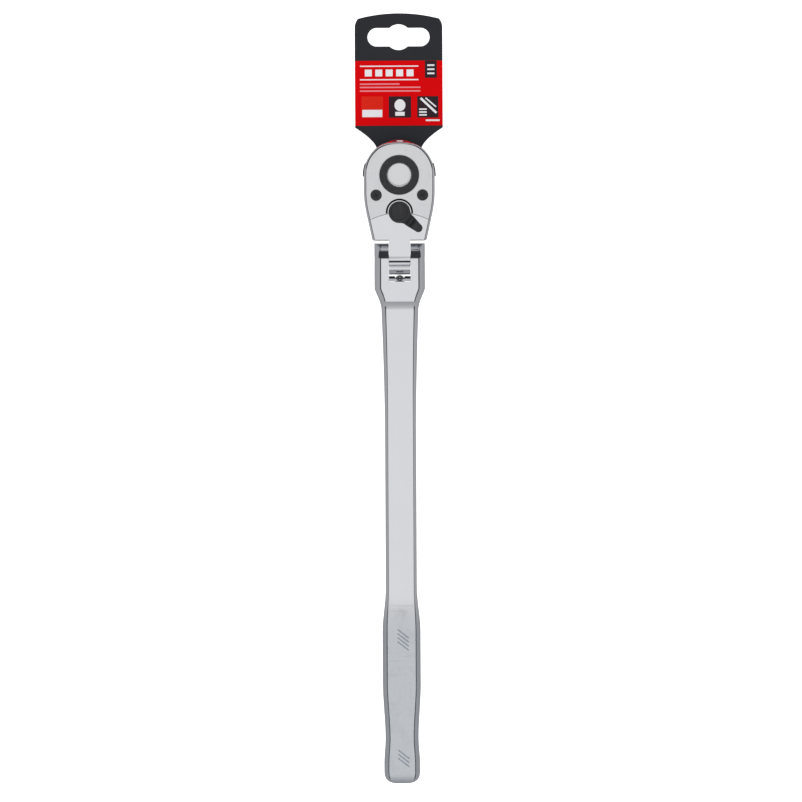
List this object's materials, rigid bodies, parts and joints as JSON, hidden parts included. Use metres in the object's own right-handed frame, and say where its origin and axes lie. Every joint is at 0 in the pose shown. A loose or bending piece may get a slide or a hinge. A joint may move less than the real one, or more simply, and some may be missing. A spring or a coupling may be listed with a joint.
{
  "type": "ratchet_wrench",
  "caption": "Long-handled flex-head ratchet wrench in chrome with square drive, thumb ring, quick-release button and reversing lever, on a plastic hanging tag",
  "frame": {"origin": "on the drive axis, at the shoulder where a socket seats; the square drive runs from there to z = -16 mm", "axes": "+Z along the drive axis, out of the lever side; +Y from the handle towards the head's round end, so the handle runs along -Y; +X to the right, seen from the lever side; the wrench lies flat and straight, in its tag"},
  "size_m": [0.058, 0.5088, 0.0397],
  "materials": {
    "chrome": "polished",
    "satin_steel": "satin",
    "black_metal": "satin",
    "black_plastic": "matte",
    "label": "gloss",
    "seal_rubber": "matte"
  },
  "bodies": {
    "handle": {"handle": "chrome", "flex_pin": "satin_steel", "flex_spring": "satin_steel"},
    "flex_ball": {"flex_ball": "satin_steel"},
    "head": {"head_body": "chrome", "cover_plate": "chrome", "cover_screws": "black_metal", "pawl_pin": "satin_steel", "thrust_washer": "satin_steel", "gear_seal": "seal_rubber", "lever_seal": "seal_rubber"},
    "drive": {"drive_gear": "satin_steel", "thumb_ring": "black_metal", "release_spring": "satin_steel"},
    "release": {"release_button": "chrome", "release_rod": "satin_steel"},
    "socket_ball": {"socket_ball": "satin_steel"},
    "lever": {"reversing_lever": "black_metal", "lever_spring": "satin_steel", "lever_plunger": "satin_steel"},
    "pawl": {"pawl": "satin_steel"},
    "tag": {"hang_tag": "black_plastic", "tag_label": "label"}
  },
  "joints": [
    {"name": "head_flex", "type": "hinge", "parent": "handle", "child": "head", "pos_m": [0, -0.056, 0.0105], "axis": [1, 0, 0], "range_deg": [-90, 90]},
    {"name": "flex_ball_travel", "type": "slide", "parent": "handle", "child": "flex_ball", "axis": [0, -1, 0], "range_m": [0, 0.0008], "stiffness_N_per_m": 6000},
    {"name": "drive_spin", "type": "hinge", "parent": "head", "child": "drive", "pos_m": [0, 0, 0.0105], "axis": [0, 0, 1], "continuous": true},
    {"name": "button_press", "type": "slide", "parent": "drive", "child": "release", "axis": [0, 0, -1], "range_m": [0, 0.003], "stiffness_N_per_m": 2500, "deforming": ["release_spring"]},
    {"name": "socket_ball_travel", "type": "slide", "parent": "drive", "child": "socket_ball", "axis": [-1, 0, 0], "range_m": [0, 0.001]},
    {"name": "lever_turn", "type": "hinge", "parent": "head", "child": "lever", "pos_m": [0, -0.0246, 0.0105], "axis": [0, 0, 1], "range_deg": [-99.6, 0]},
    {"name": "pawl_rock", "type": "hinge", "parent": "head", "child": "pawl", "pos_m": [0, -0.0183, 0.0105], "axis": [0, 0, 1], "range_deg": [0, 9.96]},
    {"name": "tag_pull", "type": "slide", "parent": "head", "child": "tag", "axis": [0, 0, -1], "range_m": [0, 0.03]}
  ],
  "couplings": [
    {"joint": "pawl_rock", "follows": "lever_turn", "ratio": -0.1},
    {"joint": "socket_ball_travel", "follows": "button_press", "ratio": 0.33333}
  ]
}
